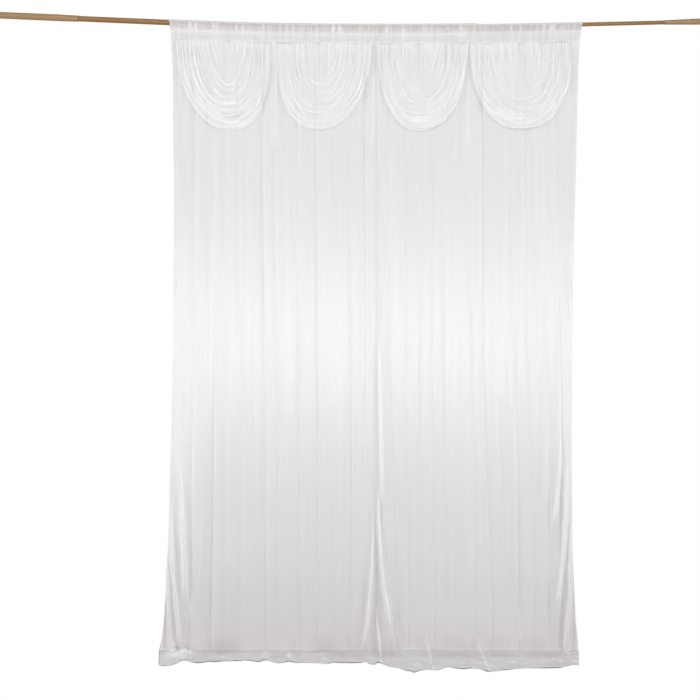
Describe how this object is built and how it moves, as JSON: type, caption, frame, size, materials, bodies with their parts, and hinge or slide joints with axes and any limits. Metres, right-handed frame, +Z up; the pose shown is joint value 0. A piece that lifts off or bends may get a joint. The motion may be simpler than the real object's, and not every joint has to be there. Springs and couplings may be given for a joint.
{
  "type": "swagged backdrop curtain and rod",
  "caption": "Gathered white satin panels with draped swags, hung by a pocket from a bowed telescopic rod, their hems lying forward on the floor.",
  "frame": {"origin": "on the floor, under the middle of the rod's length and the middle of the whole depth from the hem on the floor to the back of the rod; the rod's axis is 152 mm behind it", "axes": "+X to the right seen from the front, along the rod; -Y forward, the way the hem lies on the floor; +Z up"},
  "size_m": [3.28, 0.3393, 2.8738],
  "materials": {
    "satin": "glossy white satin weave",
    "rod_pale": "pale bronze paint, satin",
    "rod_dark": "tan bronze paint, satin"
  },
  "bodies": {
    "root": {"rod_end_left": "rod_pale", "rod_left": "rod_dark", "rod_right": "rod_dark", "rod_end_right": "rod_pale", "panel_left": "satin", "panel_right": "satin", "swag_1": "satin", "swag_2": "satin", "swag_3": "satin", "swag_4": "satin"}
  },
  "joints": []
}
